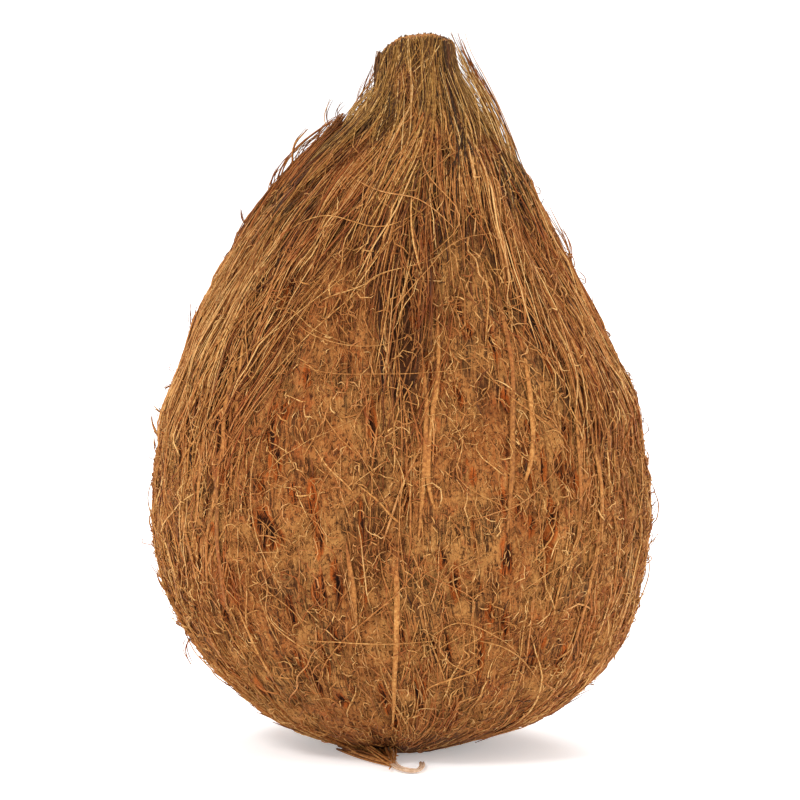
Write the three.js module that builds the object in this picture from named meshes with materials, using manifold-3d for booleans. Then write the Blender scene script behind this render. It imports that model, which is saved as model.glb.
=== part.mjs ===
// A part-husked coconut that stands on the blunt end of its nut. The round nut keeps a close mat
// of coir, and the long fibres over its eyes are gathered into a tuft that is cut off square.
// Millimetres, +Z up. The origin is the middle of the small flat spot that it stands on. The
// strip of loose fibres between its two nearest bare domes faces -Y.
import * as THREE from "three";
import { mergeVertices } from "three/addons/utils/BufferGeometryUtils.js";
import Module from "manifold-3d";

const HEIGHT = 160.5; // flat spot to the top of the cut tuft
const WIDTH = 115; // across the widest part of the nut
const CUT_SLANT = 5; // how much lower the left edge of the cut tuft is than the right one
const NECK = 0.89; // share of the height above which the tuft follows the slant of its cut

// The outline from the flat spot up to the cut: share of the height, and share of half the width.
const OUTLINE = [
  [0, 0.25], [0.03, 0.48], [0.095, 0.735], [0.18, 0.905], [0.31, 0.995], [0.43, 0.972], [0.53, 0.887],
  [0.64, 0.745], [0.73, 0.603], [0.81, 0.463], [0.865, 0.348], [0.915, 0.248], [0.96, 0.187], [1, 0.165],
];
// How far the middle of each section lies towards +X: share of the height, and millimetres.
const LEAN = [[0, 0], [0.12, 0.4], [0.3, 0], [0.52, -0.8], [0.7, -1.1], [0.8, 0.6], [0.89, 4], [1, 5]];

// The domes where the mat of the nut shows above its shoulders, between strips of loose fibre:
// azimuth and half width in degrees, and the share of the height where the loose fibres end.
const DOMES = [[-112, 17, 0.745], [-67, 16, 0.755], [38, 20, 0.73], [92, 18, 0.75], [147, 20, 0.735]];
const STRIP_END = 0.47; // share of the height where the strips between the domes end
const DOME_SWELL = 1.6;
const DRAPE_THICK = 1.4; // thickness of the loose fibres over the mat
const THREE_SIDED = 0.018; // how far the nut is from round

const COLUMNS = 120; // around, each second one the crest of a strand
const ROWS = 25; // from the flat spot to the cut
const CREST_MAT = 1.5; // height of the strands in the mat of the nut
const CREST_DRAPE = 1.9; // and among the loose fibres
const THINNING = 1.6; // strands get finer where the radius share is under one over this
const RIB_EVERY = 7; // crests from one coarse rib to the next
const RIB_HEIGHT = 0.9;
const CRUMB = 0.35; // roughness of the pith between the strands
const CUT_ENDS = 1.6; // how unevenly the strands of the tuft are cut

const TUFT_STRANDS = 44; // loose fibres that stand off the tuft
const SHOULDER_STRANDS = 24; // broken fibres that stick up at the shoulders
const STRAND_RADIUS = 0.6;
const BRISTLES = 60; // short ends that poke out of the mat
const BRISTLE_RADIUS = 0.55;
const ROOT_DEPTH = 2.2; // how far every strand is sunk at its root
const TRAIL_RADIUS = 0.8; // the thick strand that trails from the base

const { clamp, degToRad, smoothstep } = THREE.MathUtils;

let seed = 20;
function random() {
  seed = (seed + 0x6d2b79f5) | 0;
  let t = Math.imul(seed ^ (seed >>> 15), 1 | seed);
  t = (t + Math.imul(t ^ (t >>> 7), 61 | t)) ^ t;
  return ((t ^ (t >>> 14)) >>> 0) / 4294967296;
}
const between = (low, high) => low + (high - low) * random();

function through(points) {
  const curve = new THREE.CubicInterpolant(points.map((p) => p[0]), points.map((p) => p[1]), 1);
  return (share) => curve.evaluate(clamp(share, 0, 1))[0];
}
const outline = through(OUTLINE);
const lean = through(LEAN);

// 1 at the middle of a dome, falling to 0 in the strips. reach is the end of the loose fibres there.
function dome(angle) {
  let most = 0;
  let reach = STRIP_END;
  for (const [azimuth, half, end] of DOMES) {
    const off = angle - degToRad(azimuth);
    const away = Math.abs(Math.atan2(Math.sin(off), Math.cos(off))) / degToRad(half);
    const here = Math.exp(-away * away);
    if (here > most) [most, reach] = [here, STRIP_END + (end - STRIP_END) * here];
  }
  return { most, reach };
}

// 1 where the loose fibres cover the nut and 0 where its own mat shows. The fringe of a strand
// makes it end early or late.
function drape(angle, share, fringe = 0) {
  const end = dome(angle).reach + fringe;
  return smoothstep(share, end - 0.045, end + 0.03);
}

// Distance from the axis to the smooth skin, before any strand.
function skin(angle, share) {
  const even = smoothstep(share, 0, 0.1) * (1 - smoothstep(share, 0.85, 0.95));
  const shoulder = Math.exp(-(((share - 0.66) / 0.13) ** 2));
  const sides = THREE_SIDED * Math.cos(3 * (angle - Math.PI / 2));
  const swell = DOME_SWELL * (dome(angle).most - 0.5) * shoulder;
  const mat = (WIDTH / 2) * outline(share) * (1 + sides * even) + swell;
  return mat - DRAPE_THICK * (1 - drape(angle, share)) * even;
}

// The tuft is cut at a slant, so what is above the neck is pulled down on the left.
function cut(x, z) {
  const neck = NECK * HEIGHT;
  const tuft = (WIDTH / 2) * outline(1);
  const left = clamp((lean(1) + tuft - x) / (2 * tuft), 0, 1);
  return z < neck ? z : neck + (z - neck) * (1 - (CUT_SLANT * left * left) / (HEIGHT - neck));
}

function point(angle, share, out = 0) {
  const r = skin(angle, share) + out;
  const x = lean(share) + r * Math.cos(angle);
  return new THREE.Vector3(x, r * Math.sin(angle), cut(x, share * HEIGHT));
}

// Heights of the rows, evenly spaced along the outline.
function rowShares() {
  const fine = Array.from({ length: 401 }, (_, i) => i / 400);
  const run = [0];
  for (let i = 1; i < fine.length; i++) {
    const across = ((outline(fine[i]) - outline(fine[i - 1])) * WIDTH) / 2;
    run.push(run[i - 1] + Math.hypot(across, HEIGHT / 400));
  }
  return Array.from({ length: ROWS + 1 }, (_, row) => {
    const wanted = (run.at(-1) * row) / ROWS;
    return fine[run.findIndex((length) => length >= wanted - 1e-9)];
  });
}

// The crest of one strand: how high it stands at each height, and where it ends as part of the drape.
function crestOf(j) {
  const own = between(0.55, 1.25);
  const phase = between(0, 2 * Math.PI);
  const beat = between(14, 26);
  const fringe = between(-0.11, 0.04);
  const rib = j % (2 * RIB_EVERY) === 1;
  return (angle, share) => {
    const cover = drape(angle, share, fringe);
    const broken = clamp(0.5 + 0.7 * Math.sin(beat * share + phase), 0.05, 1);
    const crowded = 0.3 + 0.7 * Math.min(1, outline(share) * THINNING);
    const mat = rib ? CREST_MAT * 0.8 + RIB_HEIGHT : CREST_MAT * own * broken;
    const loose = CREST_DRAPE * own;
    const edge = 0.5 * DRAPE_THICK * cover * (1 - drape(angle, share));
    return (mat + (loose - mat) * cover) * crowded + edge;
  };
}

// How far the strands wander sideways on their way up, in radians.
function sway(angle, share) {
  return 0.04 * Math.sin(3 * angle + 7 * share) + 0.025 * Math.sin(8 * angle - 13 * share + 2);
}

// The nut with its mat and the body of its tuft: a grid whose columns follow the strands.
function body() {
  const crests = Array.from({ length: COLUMNS }, (_, j) => (j % 2 ? crestOf(j) : () => 0));
  const positions = [];
  rowShares().forEach((share, row) => {
    const rise = smoothstep(share, 0, 0.06);
    for (let j = 0; j < COLUMNS; j++) {
      const level = (2 * Math.PI * j) / COLUMNS;
      const angle = level + sway(level, share) * rise;
      const uneven = row ? between(-CRUMB, CRUMB) : 0;
      const p = point(angle, share, crests[j](angle, share) * (0.35 + 0.65 * rise) + uneven);
      if (row === ROWS && j % 2) p.z += between(-0.4, 1) * CUT_ENDS;
      positions.push(p.x, p.y, row ? p.z : 0);
    }
  });
  const index = [];
  for (let row = 0; row < ROWS; row++) {
    for (let j = 0; j < COLUMNS; j++) {
      const [a, b] = [row * COLUMNS + j, row * COLUMNS + ((j + 1) % COLUMNS)];
      index.push(a, b, b + COLUMNS, a, b + COLUMNS, a + COLUMNS);
    }
  }
  closeBase(positions, index);
  closeCut(positions, index);
  return indexed(positions, index);
}

function closeBase(positions, index) {
  const middle = positions.length / 3;
  positions.push(0, 0, 0);
  for (let j = 0; j < COLUMNS; j++) index.push(middle, (j + 1) % COLUMNS, j);
}

// The cut face of the tuft: one ring of cut strand ends inside the rim, and a middle point.
function closeCut(positions, index) {
  const rim = ROWS * COLUMNS;
  const ends = COLUMNS / 4;
  const ring = positions.length / 3;
  for (let k = 0; k < ends; k++) {
    const p = point((2 * Math.PI * (k + 0.4)) / ends, 1, -between(3.2, 5.2));
    positions.push(p.x, p.y, p.z + between(-0.8, 0.9));
  }
  const middle = positions.length / 3;
  const top = point(0, 1, -skin(0, 1));
  positions.push(top.x, top.y, top.z + 0.5);
  for (let k = 0; k < ends; k++) {
    const next = (k + 1) % ends;
    for (let j = 4 * k; j < 4 * k + 4; j++) index.push(rim + j, rim + ((j + 1) % COLUMNS), ring + k);
    index.push(ring + k, rim + ((4 * k + 4) % COLUMNS), ring + next);
    index.push(ring + k, ring + next, middle);
  }
}

function indexed(positions, index) {
  const made = new THREE.BufferGeometry();
  made.setAttribute("position", new THREE.Float32BufferAttribute(positions, 3));
  made.setIndex(index);
  return made;
}

// A strand is a slim three-sided cylinder, tapered to its tip and bent along a curve.
function strand(points, radius, tipShare, steps) {
  const curve = new THREE.CatmullRomCurve3(points);
  const frames = curve.computeFrenetFrames(steps, false);
  const geometry = new THREE.CylinderGeometry(radius * tipShare, radius, 1, 3, steps);
  const places = geometry.getAttribute("position");
  for (let i = 0; i < places.count; i++) {
    const along = places.getY(i) + 0.5;
    const step = Math.round(along * steps);
    const p = curve.getPointAt(along);
    p.addScaledVector(frames.normals[step], places.getZ(i));
    p.addScaledVector(frames.binormals[step], places.getX(i));
    places.setXYZ(i, p.x, p.y, p.z);
  }
  return geometry;
}

// Long fibres that leave the drape at the shoulder and stand off the tuft up to its cut, furthest
// on the right.
function tuftStrands() {
  return Array.from({ length: TUFT_STRANDS }, (_, i) => {
    const angle = (2 * Math.PI * (i + between(0.1, 0.9))) / TUFT_STRANDS;
    const root = between(0.69, 0.8);
    const tip = between(0.93, 1.02);
    const off = between(1.4, 3.2) * (1 + 0.6 * Math.max(0, Math.cos(angle)));
    const turn = between(-0.16, 0.16);
    const points = [
      point(angle, root, -ROOT_DEPTH),
      point(angle + 0.2 * turn, root + 0.3 * (tip - root), 0.8 * off),
      point(angle + 0.6 * turn, root + 0.65 * (tip - root), off),
      point(angle + turn, Math.min(tip, 1), 0.8 * off),
    ];
    points[3].z += HEIGHT * Math.max(0, tip - 1);
    return strand(points, STRAND_RADIUS, 0.6, 4);
  });
}

// Broken fibres at the shoulders, which part from the drape and point up and out.
function shoulderStrands() {
  return Array.from({ length: SHOULDER_STRANDS }, (_, i) => {
    const angle = Math.PI + (2 * Math.PI * (i + between(-0.4, 0.4))) / SHOULDER_STRANDS;
    const root = between(0.62, 0.82);
    const rise = between(0.06, 0.11);
    const off = between(2.4, 4.6);
    const turn = between(-0.12, 0.12);
    const points = [
      point(angle, root, -ROOT_DEPTH),
      point(angle + 0.5 * turn, root + 0.55 * rise, 0.55 * off),
      point(angle + turn, root + rise, off),
    ];
    return strand(points, STRAND_RADIUS, 0.6, 3);
  });
}

// Short fibre ends that poke out of the mat of the nut, spread evenly by the golden angle.
function bristles() {
  const golden = Math.PI * (3 - Math.sqrt(5));
  return Array.from({ length: BRISTLES }, (_, i) => {
    const angle = golden * i;
    const share = 0.09 + (0.6 * (i + 0.5)) / BRISTLES;
    const length = between(0.03, 0.06) * (random() < 0.5 ? -1 : 1);
    const points = [
      point(angle, share, -ROOT_DEPTH),
      point(angle + between(-0.08, 0.08), share + length, between(2, 3.2)),
    ];
    return strand(points, BRISTLE_RADIUS, 0.55, 1);
  });
}

// The thick strand that leaves the blunt end in front, lies on the surface and hooks to the right.
function trailingStrand() {
  const rest = TRAIL_RADIUS;
  const points = [
    new THREE.Vector3(-3, -9, 3.4),
    new THREE.Vector3(-2.8, -17, 2.6),
    new THREE.Vector3(-1.8, -25, rest),
    new THREE.Vector3(-0.4, -32, rest),
    new THREE.Vector3(2.2, -34.5, rest),
    new THREE.Vector3(4, -32, rest),
    new THREE.Vector3(4.6, -28, rest),
  ];
  return strand(points, TRAIL_RADIUS, 0.7, 14);
}

const wasm = await Module();
wasm.setup();

function solid(geometry) {
  const bare = geometry.clone();
  bare.deleteAttribute("normal");
  bare.deleteAttribute("uv");
  const merged = mergeVertices(bare, 1e-4);
  return new wasm.Manifold(
    new wasm.Mesh({
      numProp: 3,
      vertProperties: merged.getAttribute("position").array,
      triVerts: new Uint32Array(merged.index.array),
    }),
  );
}

// The nut, its mat and its fibres grew as one thing, so they are joined and stay one body.
function fused(geometries) {
  const joined = wasm.Manifold.union(geometries.map(solid));
  const pieces = joined.decompose().sort((a, b) => b.volume() - a.volume());
  const mesh = pieces[0].getMesh();
  const made = new THREE.BufferGeometry();
  made.setAttribute("position", new THREE.Float32BufferAttribute(mesh.vertProperties, 3));
  made.setIndex(new THREE.BufferAttribute(mesh.triVerts, 1));
  return made;
}

const coir = new THREE.MeshStandardMaterial({ color: 0x9b6735, roughness: 0.8, metalness: 0 });
const fibres = [...tuftStrands(), ...shoulderStrands(), ...bristles(), trailingStrand()];
const coconut = new THREE.Mesh(fused([body(), ...fibres]), coir);
coconut.name = "coconut";

const group = new THREE.Group();
group.add(coconut);
export default group;
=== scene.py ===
# %% [markdown]
# # A part-husked coconut
# Most of the thick husk of this coconut has been pulled away. What stays is a close brown mat of
# coir on the nut, and a tuft of long fibres over the eyes, cut off square. Nearly all that the
# eye sees is fibre, so this lesson is about making thousands of fibres that lie as they grew.

import math

import bmesh
import bpy
import numpy as np
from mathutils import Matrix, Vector


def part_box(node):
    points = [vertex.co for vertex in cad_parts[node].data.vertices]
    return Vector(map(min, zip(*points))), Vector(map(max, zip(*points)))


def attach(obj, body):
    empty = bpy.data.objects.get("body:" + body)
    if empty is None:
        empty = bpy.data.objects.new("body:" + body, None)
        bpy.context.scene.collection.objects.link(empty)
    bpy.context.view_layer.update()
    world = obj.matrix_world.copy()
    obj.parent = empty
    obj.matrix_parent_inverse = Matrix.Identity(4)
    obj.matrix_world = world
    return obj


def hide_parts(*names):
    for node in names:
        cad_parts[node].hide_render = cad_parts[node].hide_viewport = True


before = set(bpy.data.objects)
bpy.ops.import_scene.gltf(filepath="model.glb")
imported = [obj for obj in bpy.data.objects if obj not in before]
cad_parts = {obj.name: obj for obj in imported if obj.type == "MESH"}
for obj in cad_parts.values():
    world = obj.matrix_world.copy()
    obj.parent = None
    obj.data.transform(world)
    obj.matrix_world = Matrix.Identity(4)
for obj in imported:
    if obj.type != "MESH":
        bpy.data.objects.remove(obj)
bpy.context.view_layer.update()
low_corner, high_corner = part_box("coconut")
size = [round(1000 * (high - low), 1) for low, high in zip(low_corner, high_corner)]
print("the coconut's box in millimetres:", size)

# %% [markdown]
# ## The form of the nut
# Every piece below lies on one form, so the form is a function and not a mesh. It takes an
# azimuth, a share of the height and a distance out from the skin, and gives a point. The numbers
# are those of the solid that carries the part, so all that is laid on it stays where the solid
# is. The profile runs smoothly through a few measured widths.

# %% Driving sizes, in metres
MM = 0.001
HEIGHT = 160.5 * MM
HALF_WIDTH = 57.5 * MM
CUT_EDGE = [
    (0, -2.2), (0.13, -0.6), (0.27, 0.7), (0.43, 1.4), (0.62, 1.1), (0.77, 0.6), (0.89, -0.6), (1, -2.5),
]  # share of the tuft's width from its right edge, height of the cut there in millimetres
NECK = 0.89  # share of the height above which the tuft follows the slant of the cut
OUTLINE = [
    (0, 0.25), (0.03, 0.48), (0.095, 0.735), (0.18, 0.905), (0.31, 0.995), (0.43, 0.972), (0.53, 0.887),
    (0.64, 0.745), (0.73, 0.603), (0.81, 0.463), (0.865, 0.348), (0.915, 0.248), (0.96, 0.187), (1, 0.165),
]  # share of the height, share of half the width
LEAN = [
    (0, 0), (0.04, 1), (0.1, 1.7), (0.16, 0.9), (0.24, 0.1), (0.38, -0.2),
    (0.52, -0.8), (0.7, -1.1), (0.8, 0.6), (0.89, 4), (1, 5),
]  # share of the height, millimetres to the right
DOMES = [(-112, 17, 0.745), (-67, 16, 0.755), (38, 20, 0.73), (92, 18, 0.75), (147, 20, 0.735)]
STRIP_END = 0.47  # where the loose fibres between two domes end
DOME_SWELL = 1.6 * MM
SHOULDER, SHOULDER_SPREAD = 0.66, 0.13  # where the domes swell most, and how far that reaches
DRAPE_THICK = 1.4 * MM
FRINGE_BELOW, FRINGE_ABOVE = 0.045, 0.03  # how gradually the loose fibres end
THREE_SIDED = 0.018  # how far the nut is from round
FRONT = -math.pi / 2  # azimuth of the side that faces the camera
TAU = 2 * math.pi


# %% Curves through measured points
def through(points):
    """A smooth curve through the points, each of them a place and a value."""
    x, y = np.array(points, float).T
    secants = np.diff(y) / np.diff(x)
    middle = (secants[1:] + secants[:-1]) / 2
    first, last = 1.5 * secants[0] - middle[0] / 2, 1.5 * secants[-1] - middle[-1] / 2
    slopes = np.concatenate(([first], middle, [last]))

    def at(place):
        place = np.clip(place, 0, 1)
        i = np.clip(np.searchsorted(x, place, side="right") - 1, 0, len(x) - 2)
        gap = x[i + 1] - x[i]
        t = (place - x[i]) / gap
        ends = y[i] * (1 + 2 * t) * (1 - t) ** 2 + y[i + 1] * t * t * (3 - 2 * t)
        return ends + gap * t * (1 - t) * (slopes[i] * (1 - t) - slopes[i + 1] * t)

    return at


outline = through(OUTLINE)
lean = through(LEAN)
cut_edge = through(CUT_EDGE)


def step(value, low, high):
    """0 below low, 1 above high, and smooth between them."""
    t = np.clip((value - low) / (high - low), 0, 1)
    return t * t * (3 - 2 * t)


print("widest share of the outline:", round(float(outline(np.linspace(0, 1, 200)).max()), 3))


# %% Domes and the drape of loose fibres
def apart(angle, azimuth):
    """The angle from an azimuth in degrees, wrapped to half a turn either way."""
    off = angle - math.radians(azimuth)
    return np.arctan2(np.sin(off), np.cos(off))


def beside(angle, azimuth, spread):
    """1 at an azimuth in degrees, falling to 0 on both sides of it over a spread in radians."""
    return np.exp(-((apart(angle, azimuth) / spread) ** 2))


def dome(angle):
    """How near a bare dome is, from 0 to 1, and where the loose fibres end there."""
    most = np.zeros_like(angle)
    reach = np.full_like(angle, STRIP_END)
    for azimuth, half, end in DOMES:
        off = (apart(angle, azimuth) / math.radians(half)) ** 2
        here = np.exp(-off)
        reach = np.where(here > most, STRIP_END + (end - STRIP_END) * np.exp(-0.7 * off**2), reach)
        most = np.maximum(most, here)
    return most, reach


def drape(angle, share):
    """1 where loose fibres cover the nut, 0 where its own mat shows."""
    reach = dome(angle)[1]
    return step(share, reach - FRINGE_BELOW, reach + FRINGE_ABOVE)


# %% Points on the form
def evenness(share):
    """1 on the nut, falling to 0 at the flat spot and in the tuft, which are round."""
    return step(share, 0, 0.1) * (1 - step(share, 0.85, 0.95))


def skin(angle, share):
    """Distance from the axis to the smooth skin."""
    shoulder = np.exp(-(((share - SHOULDER) / SHOULDER_SPREAD) ** 2))
    sides = THREE_SIDED * np.cos(3 * (angle - math.pi / 2))
    swell = DOME_SWELL * (dome(angle)[0] - 0.5) * shoulder
    nut = HALF_WIDTH * outline(share) * (1 + sides * evenness(share)) + swell
    return nut - DRAPE_THICK * (1 - drape(angle, share)) * evenness(share)


def slanted(x, z):
    """The height of a point once the cut of the tuft slants down to the left, and is rounded."""
    tuft = HALF_WIDTH * outline(1)
    left = np.clip((MM * lean(1) + tuft - x) / (2 * tuft), 0, 1)
    rise = np.clip((z / HEIGHT - NECK) / (1 - NECK), 0, None)
    return z + MM * cut_edge(left) * rise**2


def point(angle, share, out=0.0, inward=1.0):
    """A point of the form. inward scales its distance from the axis."""
    r = skin(angle, share) * inward + out
    x = MM * lean(share) + r * np.cos(angle)
    return np.stack((x, r * np.sin(angle), slanted(x, share * HEIGHT)), axis=-1)


def sway(angle, share):
    """How far the strands wander sideways on their way up."""
    rise = step(share, 0, 0.06)
    return rise * (0.04 * np.sin(3 * angle + 7 * share) + 0.025 * np.sin(8 * angle - 13 * share + 2))


print("a point at the front of the nut:", point(np.array(FRONT), np.array(0.3)).round(4))


# %% [markdown]
# ## Roughness of the mat
# The mat is lumpy, and its lumps are drawn out along the fibres. Random heights on a grid that is
# wrapped around the nut give that: a grid with many columns and few rows makes long ridges, and
# one with as many rows makes crumbs. The same function serves the mat and the fibres on it, so
# the fibres follow the lumps.

# %% Random heights wrapped around the nut
def wrapped_heights(around, along, seed):
    """A function of azimuth and height that is smooth, random, and closed around the nut."""
    heights = np.random.default_rng(seed).uniform(-1, 1, (around, along + 1))

    def at(angle, share):
        u = (angle / TAU % 1) * around
        v = np.clip(share, 0, 1) * (along - 1e-6)
        i, j = np.floor(u).astype(int) % around, np.floor(v).astype(int)
        s, t = step(u % 1, 0, 1), step(v % 1, 0, 1)
        k = (i + 1) % around
        return (heights[i, j] * (1 - s) + heights[k, j] * s) * (1 - t) + (
            heights[i, j + 1] * (1 - s) + heights[k, j + 1] * s
        ) * t

    return at


LUMPS = [
    (wrapped_heights(26, 16, 1), 0.55 * MM),
    (wrapped_heights(70, 12, 2), 0.5 * MM),
    (wrapped_heights(150, 26, 3), 0.42 * MM),
]
CRUMBS = [(wrapped_heights(176, 100, 4), 0.5 * MM), (wrapped_heights(90, 46, 5), 0.4 * MM)]


def calmness(share, least):
    """How much of its roughness the skin keeps: less in the narrow tuft, none at the flat spot."""
    return np.clip(outline(share) * 1.6, least, 1) * step(share, 0, 0.05)


def relief(angle, share, lumps=LUMPS):
    """Height of the lumps over the smooth skin, less the gap where the body lies inside it."""
    column = angle - sway(angle, share)
    lumpy = sum(high * heights(column, share) for heights, high in lumps)
    return calmness(share, 0.15) * lumpy - gap(angle, share)


# %% [markdown]
# In three places the body of the coconut stays inside its outline, because only loose fibres
# reach it there and light shows between them: at the right of the tuft, at the left of its neck,
# and over the left shoulder, where a torn layer has lifted. Lower on the left there is a shallow
# dent, and the blunt end is a little rounder than the outline, most of all on the right.

# %% Gaps under the loose fibres
RIGHT_GAP, LEFT_GAP, NECK_GAP = 4.7 * MM, 1.6 * MM, 3.4 * MM
DENT, BASE_GAP = 1.6 * MM, 1.3 * MM
NECK_HEIGHT, DENT_HEIGHT = 0.922, 0.53  # shares of the height where these two are deepest


def gap(angle, share):
    """How far the body of the coconut lies inside its outline."""
    right = RIGHT_GAP * beside(angle, -5, 0.8) * step(share, 0.8, 0.94)
    left = LEFT_GAP * beside(angle, 180, 0.55) * step(share, 0.74, 0.83) * (1 - step(share, 0.86, 0.93))
    neck = NECK_GAP * beside(angle, 180, 0.7) * np.exp(-(((share - NECK_HEIGHT) / 0.034) ** 2))
    dent = DENT * beside(angle, 185, 0.6) * np.exp(-(((share - DENT_HEIGHT) / 0.06) ** 2))
    base = BASE_GAP * (1 + 1.8 * beside(angle, -20, 1)) * (1 - step(share, 0.01, 0.06))
    return right + left + neck + dent + base


print("gap at the right of the tuft, in millimetres:", round(float(gap(np.array(0.0), 1)) / MM, 1))


# %% [markdown]
# ## Where the photograph shows things
# A few marks are worth placing one by one: the coarse pale ribs, some long stray hairs, and the dark
# pits and cracks. Their places are read from the picture in pixels and turned into an azimuth and
# a share of the height, so they land on the form itself and hold from any side. The camera looks
# down a little and near points look larger, so the place is found in a few rounds: see where the
# guess would show, and move it by what is missing.

# %% From the picture to the form
FRAME_PIXELS = 800
PIXEL = 0.2277 * MM  # at the axis of the nut
MIDDLE_PIXEL, GROUND_PIXEL = 402, 748
DISTANCE, ELEVATION = 1.15, math.radians(6)
MIDDLE = FRAME_PIXELS / 2
ROUNDS = 8  # of guessing where a pixel lies on the form
AIM = np.array(((MIDDLE - MIDDLE_PIXEL) * PIXEL, 0, (GROUND_PIXEL - MIDDLE) * PIXEL))
VIEW = np.array((0, math.cos(ELEVATION), -math.sin(ELEVATION)))
UPWARD = np.array((0, math.sin(ELEVATION), math.cos(ELEVATION)))


def seen(places):
    """Azimuths and height shares of pixels of the picture that show the front of the nut."""
    px, py = np.array(places, float).T
    angle, share = np.full_like(px, FRONT), (GROUND_PIXEL - py) * PIXEL / HEIGHT
    for _ in range(ROUNDS):
        share = np.clip(share, 0.002, 0.99)
        place = point(angle, share) - AIM
        pixel = PIXEL * (1 + place @ VIEW / DISTANCE)
        share = np.clip(share + ((MIDDLE - py) * pixel - place @ UPWARD) / HEIGHT, 0.002, 0.99)
        across = (px - MIDDLE) * pixel + AIM[0] - MM * lean(share)
        angle = FRONT + np.arcsin(np.clip(across / skin(angle, share), -0.985, 0.985))
    return angle, share


def resampled(places, steps):
    """A smooth run through the places, in evenly spaced steps."""
    t = np.linspace(0, 1, len(places))
    wanted = np.linspace(0, 1, steps)
    return np.stack([through(np.stack((t, axis), 1))(wanted) for axis in places.T], 1)


def seen_routes(routes, steps):
    """Azimuths and height shares along routes that are given in places of the picture."""
    smooth = np.array([resampled(np.stack(seen(route), 1), steps) for route in routes])
    return smooth[..., 0], smooth[..., 1]


print("the middle of the picture lies at share", round(float(seen([(400, 400)])[1][0]), 3))

# %% [markdown]
# ## Pits and cracks
# Where pith has fallen out, short cracks run along the fibres, and here and there is a round hole
# with an orange rim. The black of the cracks and of the hole floors is painted shade. Each is a
# hollow with a place, a length, a width and a depth. The ones at the front follow the picture. The
# rest are drawn at random, evenly over the nut.

# %% Hollows in the mat
SEEN_HOLLOWS = [
    (265, 528, 8, 6, 2.6), (272, 440, 13, 2.4, 1), (529, 468, 10, 1.2, 2.2), (549, 545, 7, 1.4, 2.4),
    (544, 572, 5, 1.1, 2.2), (481, 655, 11, 1.2, 1.8), (344, 700, 3, 1.8, 2), (509, 560, 6, 1.1, 1.4),
    (250, 262, 8, 1.8, 1.6), (318, 540, 6, 1.1, 0.8), (290, 610, 6, 1, 0.9), (335, 640, 6, 1.1, 0.9),
    (291, 288, 8, 2.6, 1.8), (459, 395, 5, 1.3, 1.4), (238, 600, 8, 1.1, 1.1), (425, 690, 4, 1.2, 1.2),
    (298, 195, 15, 2.3, 2), (319, 246, 2.5, 1.8, 1.6), (352, 157, 8, 2.4, 2), (446, 156, 5, 1.8, 1.6),
    (461, 108, 4, 1.5, 1.2), (268, 232, 10, 1.6, 1.4), (335, 205, 8, 1.4, 1.2), (388, 128, 4, 1.1, 1.2),
    (545, 470, 8, 1.2, 1.6), (205, 395, 5, 1.4, 1.2), (556, 515, 5, 1, 2), (225, 486, 9, 1.2, 1.3),
    (322, 590, 8, 1.1, 1.1), (364, 585, 7, 1, 0.9), (205, 520, 9, 1, 1.1), (470, 470, 7, 0.9, 0.9),
    (505, 625, 6, 1.1, 1.2), (448, 650, 7, 1, 1.1), (384, 700, 7, 1.2, 1.3), (300, 665, 7, 1.1, 0.9),
]  # pixel x and y, then length, width and depth in millimetres
LOOSE_HOLLOWS = 230
LEFT_SHOULDER = -142  # azimuth in degrees


def hollow_rows():
    """Azimuth, share, half length, half width and depth of each hollow."""
    rng = np.random.default_rng(6)
    places = np.array(SEEN_HOLLOWS, float)
    angle, share = seen(places[:, :2])
    by_eye = np.column_stack((angle, share, places[:, 2] * MM / 2, places[:, 3] * MM / 2, places[:, 4] * MM))
    at_random = np.column_stack((
        rng.uniform(0, TAU, LOOSE_HOLLOWS),
        rng.beta(1.6, 2.0, LOOSE_HOLLOWS) * 0.74 + 0.03,
        rng.uniform(1.2, 5.0, LOOSE_HOLLOWS) * MM,
        rng.uniform(0.4, 0.8, LOOSE_HOLLOWS) * MM,
        rng.uniform(0.5, 1.6, LOOSE_HOLLOWS) * MM,
    ))
    return np.vstack((by_eye, at_random))


HOLLOWS = hollow_rows()


def left_shoulder(angle):
    """1 where the strands of the left shoulder lean to the front on their way up, 0 elsewhere."""
    return beside(angle, LEFT_SHOULDER, 0.5)


def hollow(angle, share):
    """Depth of the hollows at a place, and how near to the middle of one it is, from 0 to 1."""
    depth, dark = np.zeros_like(angle), np.zeros_like(angle)
    for azimuth, height, length, width, deep in HOLLOWS:
        across = apart(angle, math.degrees(azimuth)) * HALF_WIDTH * outline(height)
        up = (share - height) * HEIGHT
        slope = left_shoulder(azimuth) * step(height, 0.6, 0.72)
        bent = across - slope * up + 0.5 * width * np.sin(up / length * 2.5)
        near = np.exp(-((bent / width) ** 2) - (up / length) ** 2)
        depth = np.maximum(depth, deep * near)
        dark = np.maximum(dark, near)
    return depth, dark


print(len(HOLLOWS), "hollows")

# %% [markdown]
# ## The mat
# One closed skin carries everything. A profile is drawn from the middle of the flat spot, up the
# side and in over the cut of the tuft, and spun around the axis. Then each point moves out or in
# with the lumps, the crumbs and the hollows. In the tuft the skin lies deeper, so that a layer of
# fibres has room over it.

# %% Spin the profile
COLUMNS = 352
BASE_POINTS, SIDE_POINTS, TOP_POINTS = 14, 206, 12
CORE_DEPTH = 1.8 * MM  # room for the fibres over the skin of the tuft


def mat_profile():
    """Points of the half outline, from pole to pole, about 0.9 mm apart on the side."""
    flat, cut_radius = HALF_WIDTH * outline(0), HALF_WIDTH * outline(1)
    shares = np.linspace(0, 1, SIDE_POINTS)
    side = np.stack((HALF_WIDTH * outline(shares), shares * HEIGHT), 1)
    base = np.stack((np.linspace(0, flat, BASE_POINTS + 1), np.zeros(BASE_POINTS + 1)), 1)[:-1]
    top = np.stack((np.linspace(cut_radius, 0, TOP_POINTS + 1), np.full(TOP_POINTS + 1, HEIGHT)), 1)[1:]
    return np.vstack((base, side, top))


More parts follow.
